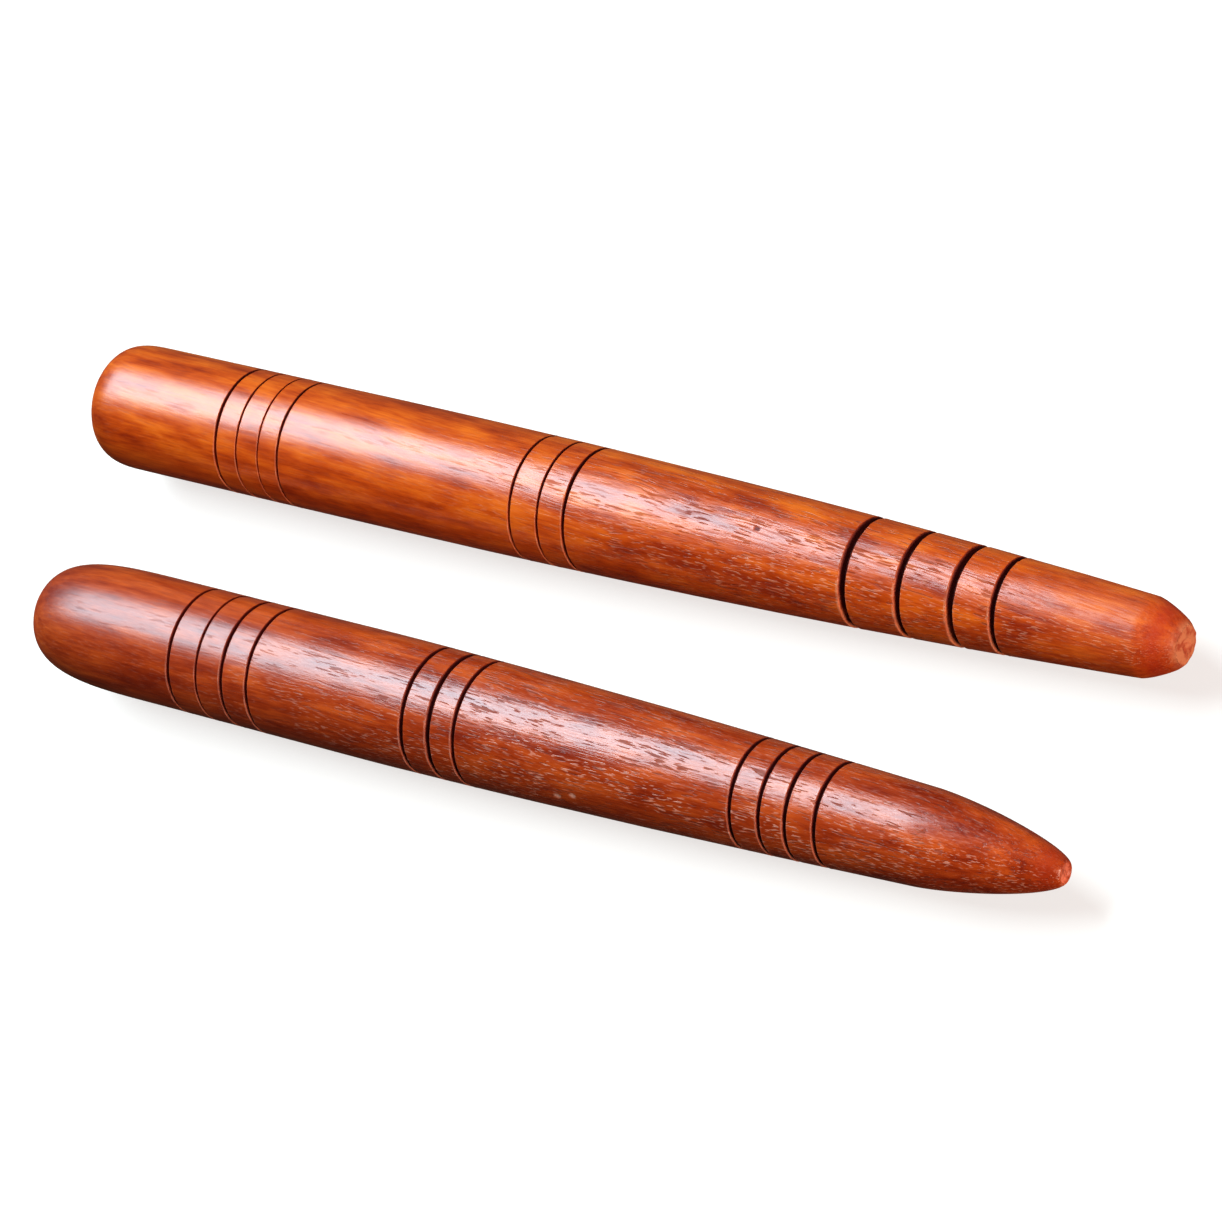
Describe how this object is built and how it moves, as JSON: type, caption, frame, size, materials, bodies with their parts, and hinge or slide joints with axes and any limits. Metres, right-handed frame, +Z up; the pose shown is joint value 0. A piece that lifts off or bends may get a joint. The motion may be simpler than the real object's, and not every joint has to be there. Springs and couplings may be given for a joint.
{
  "type": "claves",
  "caption": "Pair of turned hardwood sticks with rounded butts, ringed barrels and tapered tips, struck together to sound a sharp click.",
  "frame": {"origin": "on the table, halfway along the pair and halfway between its outer sides", "axes": "+X from the rounded butts to the tips, +Y towards the striking clave, +Z up from the table"},
  "size_m": [0.2, 0.0573, 0.0213],
  "materials": {
    "orange_rosewood": "satin polished orange-brown rosewood with darker rings",
    "red_rosewood": "satin polished red-brown rosewood with darker rings"
  },
  "bodies": {
    "resting": {"resting_clave": "red_rosewood"},
    "striking": {"striking_clave": "orange_rosewood"}
  },
  "joints": [
    {"name": "strike_swing", "type": "hinge", "parent": "resting", "child": "striking", "pos_m": [-0.088, 0.0184, 0.01093], "axis": [0, 0, 1], "range_deg": [-7.5, 60]}
  ]
}
